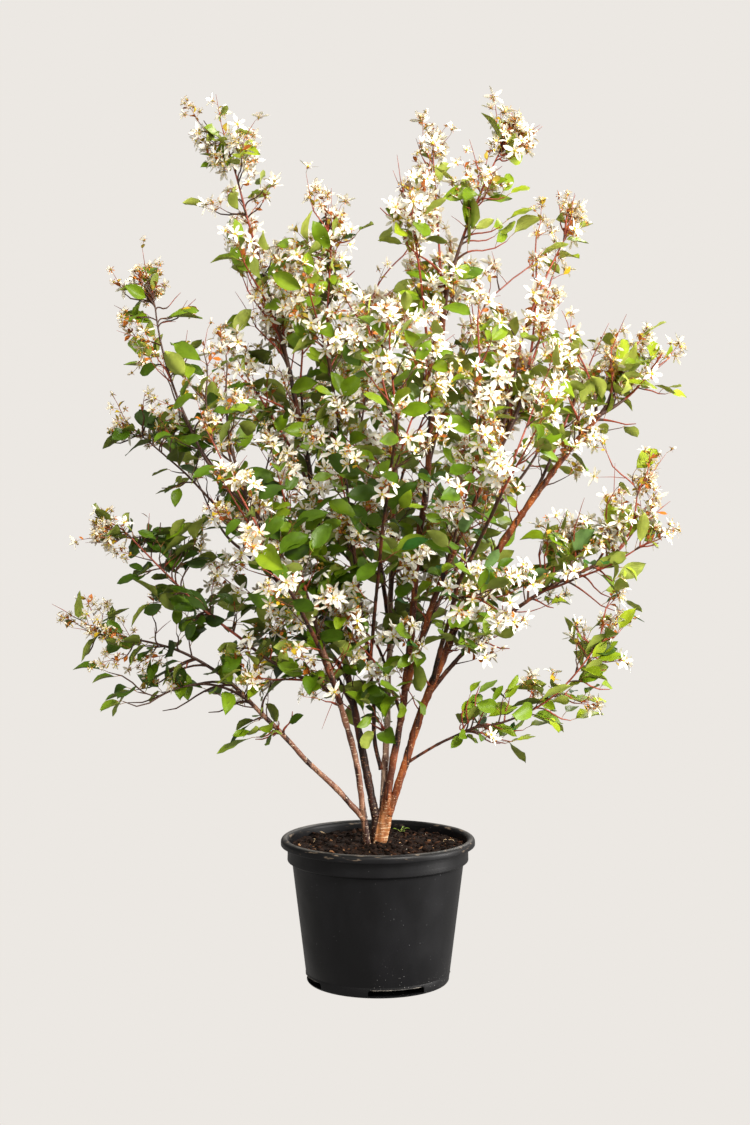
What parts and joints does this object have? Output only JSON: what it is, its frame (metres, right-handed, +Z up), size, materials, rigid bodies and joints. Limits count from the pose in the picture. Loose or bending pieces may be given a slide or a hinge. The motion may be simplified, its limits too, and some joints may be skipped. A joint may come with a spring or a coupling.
{
  "type": "serviceberry shrub",
  "caption": "Young flowering serviceberry shrub with several stems, leafy boughs and white blossom, growing in a round black nursery pot of soil.",
  "frame": {"origin": "middle of the flat underside of the pot", "axes": "+Z up along the pot's axis; seen from the front, +X is to the right and +Y points away"},
  "size_m": [0.8931, 0.8172, 1.2702],
  "materials": {
    "bark": "smooth young bark, red-brown with paler marks",
    "foliage": "soft leaves, thin twigs and white blossom",
    "pot": "matte black plastic with fine dust",
    "soil": "dark crumbly peat compost"
  },
  "bodies": {
    "root": {"bough_back": "bark", "bough_back_left": "bark", "bough_back_right": "bark", "bough_front": "bark", "bough_front_left": "bark", "bough_front_right": "bark", "bough_low_left": "bark", "bough_low_right": "bark", "bough_mid_left": "bark", "bough_mid_right": "bark", "bough_middle": "bark", "bough_right": "bark", "bough_thin": "bark", "bough_top": "bark", "bough_upper_left": "bark", "bough_upper_right": "bark", "foliage_back": "foliage", "foliage_back_left": "foliage", "foliage_back_right": "foliage", "foliage_brow": "foliage", "foliage_centre": "foliage", "foliage_cheek_left": "foliage", "foliage_cheek_right": "foliage", "foliage_crest_back": "foliage", "foliage_crest_front": "foliage", "foliage_front": "foliage", "foliage_front_left": "foliage", "foliage_front_right": "foliage", "foliage_heart": "foliage", "foliage_inner_back": "foliage", "foliage_inner_front": "foliage", "foliage_inner_left": "foliage", "foliage_inner_right": "foliage", "foliage_low_centre": "foliage", "foliage_low_left": "foliage", "foliage_low_right": "foliage", "foliage_mid_left": "foliage", "foliage_mid_right": "foliage", "foliage_rear_left": "foliage", "foliage_rear_low": "foliage", "foliage_rear_right": "foliage", "foliage_right": "foliage", "foliage_shoulder_back": "foliage", "foliage_shoulder_left": "foliage", "foliage_shoulder_right": "foliage", "foliage_side_left": "foliage", "foliage_side_right": "foliage", "foliage_tip_right": "foliage", "foliage_top_left": "foliage", "foliage_top_middle": "foliage", "foliage_top_right": "foliage", "foliage_under_left": "foliage", "foliage_upper_left": "foliage", "foliage_upper_right": "foliage", "foliage_waist_left": "foliage", "foliage_waist_right": "foliage", "pot": "pot", "side_stem": "bark", "soil": "soil", "trunk": "bark"}
  },
  "joints": []
}
